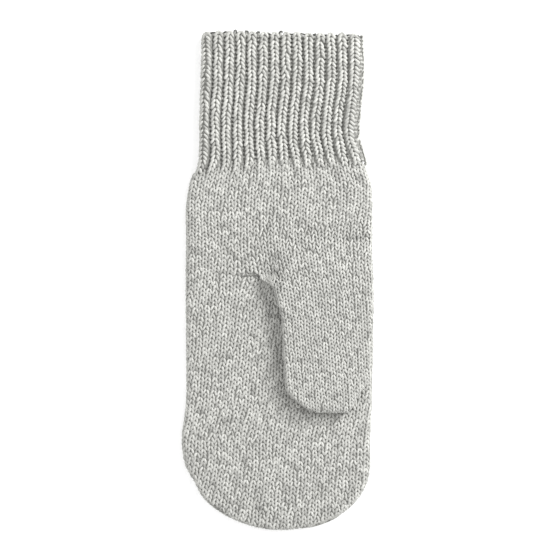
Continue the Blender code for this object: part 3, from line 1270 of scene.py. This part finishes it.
@dataclass(frozen=True)
class Tube:
    """A shell in the making: an open tube whose points are laid round the cloth."""

    piece: bpy.types.Object
    turn: np.ndarray  # of each point, 0 to 2 with 1 half way round
    share: np.ndarray  # of the length

    @classmethod
    def new(cls, name: str, turns: int, rings: int) -> "Tube":
        """Models an upright tube and reads where each of its points is.

        Args:
            name: The piece's name.
            turns: Points round it.
            rings: Rings of points along it.

        Returns:
            The tube.
        """
        bpy.ops.object.select_all(action="DESELECT")
        bpy.ops.mesh.primitive_cylinder_add(vertices=turns, radius=1.0, depth=1.0, end_fill_type="NOTHING")
        piece = bpy.context.object
        piece.name = piece.data.name = name
        bpy.ops.object.mode_set(mode="EDIT")
        bpy.ops.mesh.select_all(action="DESELECT")
        bpy.ops.object.mode_set(mode="OBJECT")
        for edge in piece.data.edges:
            low, high = (piece.data.vertices[i].co.z for i in edge.vertices)
            edge.select = abs(high - low) > 0.5
        bpy.ops.object.mode_set(mode="EDIT")
        bpy.ops.mesh.select_mode(type="EDGE")
        bpy.ops.mesh.subdivide(number_cuts=rings - 2)
        bpy.ops.object.mode_set(mode="OBJECT")
        points = np.array([v.co for v in piece.data.vertices])
        angle = np.arctan2(points[:, 1], points[:, 0])
        turn = np.round((math.pi - angle) / (2 * math.pi) * turns) / turns * 2 % 2
        share = np.round((points[:, 2] + 0.5) * (rings - 1)) / (rings - 1)
        return cls(piece, turn, share)

    @property
    def across(self) -> np.ndarray:
        """How far across its face each point is, 0 to 1."""
        return np.where(self.turn <= 1, self.turn, 2 - self.turn)

    def spread(self, outline: Outline, y: np.ndarray) -> np.ndarray:
        """Spreads the points between the sides of an outline, closest at the sides.

        Args:
            outline: The outline.
            y: The height of each point.

        Returns:
            The x of each.
        """
        return mix(*outline.span(y), 0.5 - 0.5 * np.cos(math.pi * self.across))

    def lay(
        self, top: np.ndarray, under: np.ndarray, wall: float, material: bpy.types.Material
    ) -> bpy.types.Object:
        """Lays the tube round the cloth and gives it its wall.

        Args:
            top: Where the points go that are on the upper face.
            under: Where the points go that are on the under face.
            wall: How thick it gets.
            material: The finish.

        Returns:
            The shell.
        """
        set_points(self.piece, np.where((self.turn <= 1)[:, None], top, under))
        face_out(self.piece)
        thicken(self.piece, wall, material)
        return self.piece


@dataclass(frozen=True)
class Hand:
    """The plain knitted hand: its shell, the stitches of its palm and back, and the seam in its palm."""

    wall: float = 0.0010
    shell_depth: float = 0.00045  # below the middle of the yarn
    shell_rise: float = 0.0030  # past the join
    turns: int = 96
    rings: int = 90
    ring_power: float = 0.9  # brings the shell's rings closer to the tip
    crown: float = 0.0005
    spare_wales: int = 6  # past each fold, for the lean to bring in
    inside: float = -0.0011  # the least depth of a stitch from the middle of the fold; below 0 is past it
    inside_ribs: float = 0.0016  # the same, above the join
    hidden_depth: float = 0.004  # stitches further under the thumb than this aren't made
    raised_depth: float = 0.0008  # stitches further inside the thumb's root than this lie on it
    raised_below: float = 0.0003  # how far below the crotch they start to
    finger_y: float = -0.030  # palm_knit ends and finger_knit starts
    back_inside: float = 0.0003  # as inside, for the under sheet
    back_sink: float = 0.00015  # further under the outer face than the palm's stitches
    seam_strands: tuple = (-0.0146, -0.0088, 5)  # the first one's x, the last one's, and how many
    seam_length: float = 0.0022
    seam_below: float = 0.0001
    seam_sag: float = 0.0003
    seam_lift: float = 0.0006
    seam_half: float = 0.00022
    seam_yarn: tuple = (3.0, 7.0)  # the place along the yarn and its row, for the colouring

    def sheet(self, side: Side, sink: float) -> FoldedSheet:
        """Forms one sheet of the hand.

        Args:
            side: Which one.
            sink: How far it lies below the outer face.

        Returns:
            The sheet.
        """
        half = CLOTH.hand_height / 2
        top = side is Side.TOP
        return FoldedSheet(
            outline=hand_outline(sink),
            radius=half - sink,
            side=side,
            middle=half,
            relief=palm_relief if top else None,
            crown=self.crown if top else 0.0,
        )

    def shell(self, material: bpy.types.Material) -> bpy.types.Object:
        """Builds the thin shell behind the stitches.

        Args:
            material: Its finish.

        Returns:
            The shell.
        """
        tube = Tube.new("hand_shell", self.turns, self.rings)
        outline = hand_outline(CLOTH.sink).grown(QUARTER_GROWTH * CLOTH.hand_radius)
        along = np.sin(tube.share * math.pi / 2) ** self.ring_power
        y = mix(JOIN_Y + self.shell_rise, outline.points[:, 1].min(), along)
        x = tube.spread(outline, y)
        flat = np.column_stack([x, y + JOIN_SLOPE * x * (1 - tube.share) ** 3])
        top, under = (self.sheet(side, CLOTH.sink).behind(flat, self.shell_depth) for side in Side)
        return tube.lay(top, under, self.wall, material)

    def cells(self) -> tuple[np.ndarray, np.ndarray, np.ndarray]:
        """Lists the stitches that a face of the hand may have.

        Returns:
            The cells, which of them are in the way of a rib, and how deep inside the fold each must be.
        """
        cells = grid_cells(np.arange(-self.spare_wales, WALES + self.spare_wales) + 0.5, COURSES)
        above = cells[:, 1] < 0
        in_ribs = above & (np.floor(cells[:, 0]) % 2 == 1)
        return cells, in_ribs, np.where(above, self.inside_ribs, self.inside)

    def knit_palm(
        self, front: ThumbFront, tools: Tools, material: bpy.types.Material
    ) -> list[bpy.types.Object]:
        """Builds the stitches of the palm, some of which climb the root of the thumb.

        Args:
            front: The face of the thumb.
            tools: What they are made with.
            material: Their finish.

        Returns:
            The palm's stitches and those of the fingers.
        """
        palm = self.sheet(Side.TOP, CLOTH.sink)
        cells, in_ribs, inside = self.cells()
        flat = FLOW.hand(*cells.T)
        y = flat[:, 1]
        hidden = (front.depth(flat) > self.hidden_depth) & (y < CROTCH_Y)
        is_thumb = (cells[:, 0] > THUMB_FIRST_WALE) & (y > CROTCH_Y) & (y < ROOT_TOP_Y)
        kept = (palm.depth(flat) >= inside) & ~hidden & ~is_thumb & ~in_ribs
        raised = (y > CROTCH_Y - self.raised_below) & (y < SLIT_TOP_Y)
        raised &= front.depth(flat) > self.raised_depth
        raised &= front.place(flat)[:, 2] > palm.place(flat)[:, 2]
        in_palm = y > self.finger_y
        knit = []
        for name, parts in (
            ("palm_knit", ((palm, kept & in_palm & ~raised), (front, kept & raised))),
            ("finger_knit", ((palm, kept & ~in_palm & ~raised),)),
        ):
            strands = Strands(tools.fine)
            for sheet, chosen in parts:
                PLAIN_STITCH.add(strands, FLOW.hand, sheet, cells[chosen], WALE, tools.draw)
            knit.append(strands.build(name, material))
        return knit

    def knit_back(self, tools: Tools, material: bpy.types.Material) -> bpy.types.Object:
        """Builds the stitches of the under sheet.

        Args:
            tools: What they are made with.
            material: Their finish.

        Returns:
            The piece.
        """
        back = self.sheet(Side.UNDER, CLOTH.sink + self.back_sink)
        cells, in_ribs, inside = self.cells()
        kept = (back.depth(FLOW.back(*cells.T)) > np.maximum(inside, self.back_inside)) & ~in_ribs
        strands = Strands(tools.plain)
        PLAIN_STITCH.add(strands, FLOW.back, back, cells[kept], WALE, tools.draw)
        return strands.build("back_knit", material)

    def sew_corner(self, tools: Tools, material: bpy.types.Material) -> bpy.types.Object:
        """Builds the short seam at the corner of the thumb's opening, in wool made dark as painted shade.

        Args:
            tools: What it is made with.
            material: Its finish.

        Returns:
            The piece.
        """
        palm = self.sheet(Side.TOP, CLOTH.sink)
        strands = Strands(tools.fine)
        share = strands.shares()
        sag = self.seam_below + self.seam_sag * np.sin(math.pi * share)
        half = np.array([self.seam_half])
        for start in np.linspace(*self.seam_strands):
            flat = np.column_stack([start + self.seam_length * share, SEAM_Y - sag])
            path = palm.place(flat)[None] + (0.0, 0.0, self.seam_lift)
            strands.add(path, np.array([[0.0, 0.0, 1.0]]), half, half, np.array([self.seam_yarn]))
        return strands.build("crotch_seam", material)


@dataclass(frozen=True)
class Thumb:
    """The thumb: its shells, which rise out of the palm, and its stitches."""

    wall: float = 0.0008
    shell_depth: float = 0.00045  # below the middle of the yarn
    turns: int = 72
    rings: int = 60
    tip_gap: float = 0.0002
    under_sink: float = 0.0014  # of the shell's under side below the palm's face, beside the crotch
    under_length: float = 0.0035
    root_low: float = 0.001  # how far the root's shell runs below the crotch
    root_high: float = 0.003  # how far it ends below the slit's top
    root_faces: tuple = (40, 20)
    spare_wales: tuple = (4, 5)  # past the left and right fold, for the lean to bring in
    edge_depths: tuple = (-0.0020, -0.0005)  # least depths of stitches, on the free part and at the crotch
    edge_y: float = -0.0045
    edge_length: float = 0.0035

    def front(self, sink: float) -> ThumbFront:
        """Returns the thumb's face that shows, sunk below its outer face."""
        return ThumbFront(outline=thumb_outline(sink), radius=CLOTH.thumb_height / 2 - sink, sink=sink)

    def shell_top(self, flat: np.ndarray) -> np.ndarray:
        """Finds the top of the shells. It lies lowest beside the crotch, where the stitches lap over.

        Args:
            flat: Opened-out places.

        Returns:
            The points in space.
        """
        points = self.front(CLOTH.sink).behind(flat, self.shell_depth)
        points[:, 2] -= LAP_DENT.at(points[:, :2])
        return points

    def shell(self, material: bpy.types.Material) -> bpy.types.Object:
        """Builds the shell behind the stitches of the tube that lies on the palm.

        Args:
            material: Its finish.

        Returns:
            The shell.
        """
        tube = Tube.new("thumb_shell", self.turns, self.rings)
        own = thumb_outline(CLOTH.sink)
        outline = own.grown(QUARTER_GROWTH * CLOTH.thumb_radius)
        y = mix(CROTCH_Y, outline.points[:, 1].min() + self.tip_gap, np.sin(tube.share * math.pi / 2))
        flat = np.column_stack([tube.spread(outline, y), y])
        lower = FoldedSheet(
            outline=own, radius=CLOTH.thumb_radius, side=Side.UNDER, middle=CLOTH.thumb_middle
        )
        under = lower.behind(flat, self.shell_depth)
        rooted = ease((y - CROTCH_Y + self.under_length) / self.under_length)
        under[:, 2] = mix(under[:, 2], CLOTH.hand_height - self.under_sink, rooted)
        return tube.lay(self.shell_top(flat), under, self.wall, material)

    def root_shell(self, material: bpy.types.Material) -> bpy.types.Object:
        """Builds the shell behind the cloth that rises from the palm to the thumb, above the crotch.

        Args:
            material: Its finish.

        Returns:
            The shell.
        """
        across, along = self.root_faces
        bpy.ops.object.select_all(action="DESELECT")
        bpy.ops.mesh.primitive_grid_add(x_subdivisions=across, y_subdivisions=along, size=2.0)
        piece = bpy.context.object
        piece.name = piece.data.name = "thumb_root_shell"
        points = np.array([v.co for v in piece.data.vertices])
        y = mix(CROTCH_Y - self.root_low, SLIT_TOP_Y - self.root_high, 0.5 + 0.5 * points[:, 1])
        outline = thumb_outline(CLOTH.sink).grown(QUARTER_GROWTH * CLOTH.thumb_radius)
        x = mix(*outline.span(y), 0.5 + 0.5 * points[:, 0])
        set_points(piece, self.shell_top(np.column_stack([x, y])))
        thicken(piece, self.wall, material)
        return piece

    def knit(self, tools: Tools, material: bpy.types.Material) -> bpy.types.Object:
        """Builds the thumb's stitches, from its root in the palm to its tip.

        Args:
            tools: What they are made with.
            material: Their finish.

        Returns:
            The piece.
        """
        front = self.front(CLOTH.sink)
        left, right = self.spare_wales
        cells = grid_cells(np.arange(-left, THUMB_WALES + right) + 0.5, COURSES[ROWS_IN_RIBS:])
        flat = FLOW.thumb(*cells.T)
        y = flat[:, 1]
        palm_y = FLOW.hand(cells[:, 0] + THUMB_FIRST_WALE, cells[:, 1])[:, 1]
        rooted = (palm_y < ROOT_TOP_Y) & ((cells[:, 0] > 0) | (y < CROTCH_Y))
        free = mix(*self.edge_depths, ease((y - self.edge_y) / self.edge_length))
        kept = (front.depth(flat) > np.where(y < CROTCH_Y, free, 0.0)) & rooted
        strands = Strands(tools.fine)
        PLAIN_STITCH.add(strands, FLOW.thumb, front, cells[kept], THUMB_WALE, tools.draw)
        return strands.build("thumb_knit", material)


@dataclass(frozen=True)
class RibbedSheet(Sheet):
    """One sheet of the cuff, with ribs along it. Its opened-out places are (rib, height) pairs."""

    sink: float
    side: Side
    middle: float = 0.00245
    crest: float = 0.0012
    under_crest: float = 0.0009  # ribs that the mitten lies on are pressed flatter
    top_folds: tuple = (0.45, 14.86)  # ribs at the left and right fold
    under_folds: tuple = (30.45, 14.86)
    crest_half: float = 0.29  # in ribs
    slope_width: float = 0.21
    edge_share: float = 0.4  # of a crest that stands out past the table's edges
    fade_below: float = 0.0024  # from here below the join the ribs rise
    fade_length: float = 0.0054
    waist: float = 0.0007
    waist_y: float = 0.060
    waist_length: float = 0.012
    brim_y: float = 0.0945
    brim_length: float = 0.004
    left_corner: tuple = (0.0016, 0.0022)  # drop and width
    right_corner: tuple = (0.0008, 0.0016)
    scallop: float = 0.0005
    scallop_level: float = 0.6

    @property
    def folds(self) -> tuple:
        """The ribs at the left and right fold."""
        return self.top_folds if self.side is Side.TOP else self.under_folds

    def rib_height(self, rib: np.ndarray) -> np.ndarray:
        """Returns 0 in a valley to 1 on a crest; crests are at whole numbers."""
        return 1 - ease((np.abs(rib - np.round(rib)) - self.crest_half) / self.slope_width)

    def brim(self, run: np.ndarray, rest: np.ndarray, rib: np.ndarray) -> np.ndarray:
        """Finds how far the open edge stands out.

        Args:
            run: How far each place is from the left fold.
            rest: How far it is from the right fold.
            rib: Its rib.

        Returns:
            How far the edge stands out there.
        """
        (left, left_width), (right, right_width) = self.left_corner, self.right_corner
        scallop = self.scallop * (self.rib_height(rib) - self.scallop_level)
        return scallop - left * bell(run, left_width) - right * bell(rest, right_width)

    def place(self, flat: np.ndarray) -> np.ndarray:
        """Lays (rib, height) pairs on the cuff.

        Args:
            flat: The pairs, one row each.

        Returns:
            The points in space.
        """
        rib, y = flat.T
        edges = read_curve(CUFF_EDGES, y)
        fade = ease((y - JOIN_Y + self.fade_below) / self.fade_length)
        crest = self.crest * fade
        radius = mix(CLOTH.hand_height / 2, self.middle, fade) - self.sink
        left = edges[:, 0] + crest * self.edge_share + self.sink + radius
        right = edges[:, 1] - crest * self.edge_share - self.sink - radius
        quarter = radius * math.pi / 2
        total = right - left + 2 * quarter
        first, last = self.folds
        run = (rib - first) / (last - first) * total
        rest = total - run
        turned = np.minimum(np.minimum(run, rest) / radius, math.pi / 2)
        out = np.where(run < quarter, -1.0, np.where(rest < quarter, 1.0, 0.0))
        height, outer = np.sin(turned), np.maximum(np.sin(turned), 0.0)
        lift = crest * self.rib_height(rib)
        if self.side is Side.TOP:
            rise, reach = height * radius + outer * lift, lift
        else:
            valley = self.under_crest * fade * (1 - self.rib_height(rib))
            rise, reach = height * radius - valley * outer, lift * (1 - outer)
        x = np.clip(left + run - quarter, left, right) + out * np.cos(turned) * (radius + reach)
        x = x - self.waist * bell(y - self.waist_y, self.waist_length) * outer
        end = ease((y - JOIN_Y) / (CUFF_END_Y - JOIN_Y))
        slope = JOIN_SLOPE * (x - CROTCH_X) * (1 - end) + CUFF_END_SLOPE * x * end
        brim = ease((y - self.brim_y) / self.brim_length) * self.brim(run, rest, rib)
        return np.column_stack([x, y + slope + brim, self.middle + self.side.value * rise])


@dataclass(frozen=True)
class EdgeLoops:
    """A kind of loop of the cast-on edge, in ribs across and rows along."""

    name: str
    centre: float  # from a rib's crest
    half_span: float
    start: float  # below the last row
    height: float
    jitter: float
    half: float
    loose: tuple = ()  # valleys of the upper face, and how far their loops stand out
    loose_half: float = 0.0


RIB_LOOPS = EdgeLoops(
    "cuff_edge", centre=0.0, half_span=0.23, start=0.50, height=0.42, jitter=0.06, half=0.00050
)
VALLEY_LOOPS = EdgeLoops(
    "cuff_valley_loops",
    centre=0.5,
    half_span=0.13,
    start=0.45,
    height=0.34,
    jitter=0.10,
    half=0.00038,
    loose=((3, 0.0011), (4, 0.0006), (5, 0.0005), (7, 0.0007)),
    loose_half=0.00046,
)


@dataclass(frozen=True)
class Cuff:
    """The cuff in 1 x 1 rib: its shell, its knit and purl stitches and its edge."""

    shell_sink: float = 0.00085
    shell_gap: float = 0.0012  # at both ends
    turns: int = 360
    rings: int = 30
    wall: float = 0.0007
    rows: int = 33
    first_row: float = 0.35
    join_width: float = 0.60  # of a column of knit where it goes over into one wale
    join_length: float = 0.0075
    under_sink: float = 0.00025
    purl_sink: float = 0.0001
    purl_half_span: float = 0.13
    purl_bow: float = 0.14
    purl_jitters: tuple = (0.01, 0.05, 0.05)  # across, along and in size
    purl_dip: float = 0.0003
    purl_halves: tuple = (0.00048, 0.00040)
    edge_sink: float = 0.0002
    edge_flatness: float = 0.9
    edge_row: float = 40.0  # the edge's row of yarn, for the colouring

    @property
    def course(self) -> float:
        """The height of a row of the ribs."""
        return (CUFF_END_Y - JOIN_Y) / self.rows

    @staticmethod
    def ribs(side: Side) -> np.ndarray:
        """Returns the ribs of a sheet."""
        return np.arange(1, RIBS + 1) + (0 if side is Side.TOP else RIBS)

    def shell(self, material: bpy.types.Material) -> bpy.types.Object:
        """Builds the thin shell behind the stitches.

        Args:
            material: Its finish.

        Returns:
            The shell.
        """
        tube = Tube.new("cuff_shell", self.turns, self.rings)
        y = mix(JOIN_Y + self.shell_gap, CUFF_END_Y - self.shell_gap, tube.share)
        sheets = (RibbedSheet(self.shell_sink, side) for side in Side)
        top, under = (sheet.place(np.column_stack([mix(*sheet.folds, tube.across), y])) for sheet in sheets)
        return tube.lay(top, under, self.wall, material)

    def spot(self, rib: np.ndarray, row: np.ndarray) -> np.ndarray:
        """Returns the (rib, height) pairs of ribs and rows."""
        sway = sum(wave.at(row, rib) for wave in RIB_SWAY)
        return np.stack([rib + sway, JOIN_Y + self.course * row], axis=-1)

    def column(self, rib: np.ndarray, row: np.ndarray) -> np.ndarray:
        """Finds places in the columns of knit, which narrow to one wale at the join.

        Args:
            rib: Their ribs.
            row: Their rows.

        Returns:
            Their (rib, height) pairs.
        """
        centre = np.round(rib)
        width = mix(self.join_width, 1.0, ease(row * self.course / self.join_length))
        return self.spot(centre + (rib - centre) * width, row)

    def knit(self, side: Side, tools: Tools, material: bpy.types.Material) -> bpy.types.Object:
        """Builds the knit stitches of the ribs of one sheet.

        Args:
            side: The sheet.
            tools: What they are made with.
            material: Their finish.

        Returns:
            The piece.
        """
        top = side is Side.TOP
        strands = Strands(tools.fine if top else tools.plain)
        sheet = RibbedSheet(CLOTH.sink + (0.0 if top else self.under_sink), side)
        cells = grid_cells(self.ribs(side), np.arange(self.rows) + self.first_row)
        RIB_STITCH.add(strands, self.column, sheet, cells, WALE, tools.draw)
        return strands.build("cuff_knit" if top else "cuff_under_knit", material)

    def purl(self, side: Side, tools: Tools, material: bpy.types.Material) -> bpy.types.Object:
        """Builds the purl bumps in the valleys between the ribs of one sheet.

        Args:
            side: The sheet.
            tools: What they are made with.
            material: Their finish.

        Returns:
            The piece.
        """
        strands = Strands(tools.plain)
        sheet = RibbedSheet(CLOTH.sink + self.purl_sink, side)
        cells = grid_cells(self.ribs(side) - 0.5, np.arange(self.rows - 1) + 1.0)
        share = strands.shares()
        count = len(cells)
        across, along, size = self.purl_jitters
        arch = np.sin(math.pi * share)
        span = self.purl_half_span * (2 * share - 1)
        rib = cells[:, :1] + span[None] + tools.draw.normal(0, across, (count, 1))
        row = cells[:, 1:] + self.purl_bow * arch[None] + tools.draw.normal(0, along, (count, 1))
        path = sheet.place(self.spot(rib.ravel(), row.ravel())).reshape(count, len(share), 3)
        normal = np.tile((0.0, 0.0, float(side.value)), (count, 1))
        path[..., 2] = path[:, [len(share) // 2], 2] - side.value * self.purl_dip * (1 - arch)
        scale = 1 + tools.draw.normal(0, size, count)
        half_width, half_height = (half * scale for half in self.purl_halves)
        yarn_place = np.stack([cells[:, 0] * 2, cells[:, 1]], axis=1)
        strands.add(path, normal, half_width, half_height, yarn_place)
        return strands.build("cuff_purl" if side is Side.TOP else "cuff_under_purl", material)

    def edge(self, kind: EdgeLoops, tools: Tools, material: bpy.types.Material) -> bpy.types.Object:
        """Builds the loops of one kind along the cast-on edge.

        Args:
            kind: The kind of loop.
            tools: What they are made with.
            material: Their finish.

        Returns:
            The piece.
        """
        strands = Strands(tools.fine)
        turn = math.pi * strands.shares()
        for side in Side:
            sheet = RibbedSheet(CLOTH.sink + self.edge_sink, side)
            loose = dict(kind.loose) if side is Side.TOP else {}
            for rib in self.ribs(side):
                height = kind.height + loose.get(rib, 0.0) / self.course
                rise = height * np.sin(turn) + tools.draw.normal(0, kind.jitter)
                across = rib + kind.centre - kind.half_span * np.cos(turn)
                path = sheet.place(self.spot(across, self.rows - kind.start + rise))[None]
                normal = np.array([[0.0, 0.0, float(side.value)]])
                half = np.array([kind.loose_half if rib in loose else kind.half])
                yarn_place = np.array([[2.0 * rib, self.edge_row]])
                strands.add(path, normal, half, half * self.edge_flatness, yarn_place)
        return strands.build(kind.name, material)


@dataclass(frozen=True)
class Lamp:
    """A soft square light that looks at the mitten."""

    name: str
    place: tuple
    energy: float
    size: float

    def add(self) -> None:
        """Adds the light."""
        bpy.ops.object.light_add(type="AREA", location=self.place)
        light = bpy.context.object
        light.name = self.name
        light.data.energy = self.energy
        light.data.size = self.size
        direction = -np.array(self.place)
        light.rotation_euler = (
            math.acos(-direction[2] / np.linalg.norm(direction)),
            0.0,
            math.atan2(direction[1], direction[0]) - math.pi / 2,
        )


@dataclass(frozen=True)
class Studio:
    """The floor, the lights and the camera."""

    floor_size: float = 6.0
    lamps: tuple = (Lamp("key", (0.80, 0.50, 0.66), 18.0, 0.70), Lamp("fill", (-0.7, -0.3, 1.0), 4.5, 1.0))
    world_strength: float = 0.64
    camera_place: tuple = (0.001, 0.0004, 1.40)
    camera_reach: float = 20.0
    sensor: float = 36.0
    pixel: float = 0.0004  # of the mitten, for each pixel of the photo
    picture: int = 560

    def floor(self) -> None:
        """Builds the plain pale floor."""
        bpy.ops.object.select_all(action="DESELECT")
        bpy.ops.mesh.primitive_plane_add(size=self.floor_size, location=(0, 0, 0))
        floor = bpy.context.object
        floor.name = "floor"
        surface = {
            "Base Color": (0.9, 0.9, 0.9, 1.0),
            "Roughness": 0.9,
            "Emission Color": (1.0, 1.0, 1.0, 1.0),
            "Emission Strength": 0.3,
        }
        floor.data.materials.append(NodeKit("pale floor").finish(surface))

    def lights(self) -> None:
        """Adds the key light from the upper right, a weak fill and the world."""
        for lamp in self.lamps:
            lamp.add()
        world = bpy.data.worlds.new("studio")
        world.use_nodes = True
        background = world.node_tree.nodes["Background"].inputs
        background["Color"].default_value = (1.0, 1.0, 1.0, 1.0)
        background["Strength"].default_value = self.world_strength
        bpy.context.scene.world = world
        bpy.context.scene.view_settings.view_transform = "Standard"

    def camera(self) -> None:
        """Adds the camera straight above the mitten."""
        bpy.ops.object.camera_add(location=self.camera_place, rotation=(0, 0, 0))
        camera = bpy.context.object
        camera.name = "camera"
        camera.data.sensor_width = self.sensor
        camera.data.lens = self.sensor * self.camera_place[2] / (self.pixel * self.picture)
        camera.data.clip_end = self.camera_reach
        bpy.context.scene.camera = camera


def main() -> None:
    """Builds the mitten, its studio and the camera, and reports each piece."""
    logging.basicConfig(level=logging.INFO, format="%(message)s")
    yarn, shaded_edge_yarn, shaded_purl_yarn, shaded_behind_knit, shaded_behind_ribs, shaded_seam_wool, lit_cuff_yarn = (
        finish.material()
        for finish in (YARN, SHADED_EDGE_YARN, SHADED_PURL_YARN, SHADED_BEHIND_KNIT, SHADED_BEHIND_RIBS, SHADED_SEAM_WOOL, LIT_CUFF_YARN)
    )
    tools = Tools(StrandForm.spindle(6, 6), StrandForm.spindle(5, 5), np.random.default_rng(SEED))

    hand, thumb, cuff = Hand(), Thumb(), Cuff()
    hand_shell = hand.shell(shaded_behind_knit)
    thumb_shell = thumb.shell(shaded_behind_knit)
    root_shell = thumb.root_shell(shaded_behind_knit)
    cuff_shell = cuff.shell(shaded_behind_ribs)
    hand_knit = hand.knit_palm(thumb.front(CLOTH.sink), tools, yarn)
    hand_knit.append(hand.knit_back(tools, yarn))
    thumb_knit = [thumb.knit(tools, yarn)]
    hand_knit.append(hand.sew_corner(tools, shaded_seam_wool))
    cuff_knit = []
    for side in Side:
        cuff_knit.append(cuff.knit(side, tools, lit_cuff_yarn))
        cuff_knit.append(cuff.purl(side, tools, shaded_purl_yarn))
    cuff_knit.append(cuff.edge(RIB_LOOPS, tools, lit_cuff_yarn))
    cuff_knit.append(cuff.edge(VALLEY_LOOPS, tools, shaded_edge_yarn))

    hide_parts("hand")
    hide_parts("thumb")
    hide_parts("cuff")
    for piece in [hand_shell, thumb_shell, root_shell, cuff_shell, *hand_knit, *thumb_knit, *cuff_knit]:
        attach(piece, BODY)
        triangles = sum(polygon.loop_total - 2 for polygon in piece.data.polygons)
        LOG.info("%s: %d triangles", piece.name, triangles)
    studio = Studio()
    studio.floor()
    studio.lights()
    studio.camera()


if __name__ == "__main__":
    main()
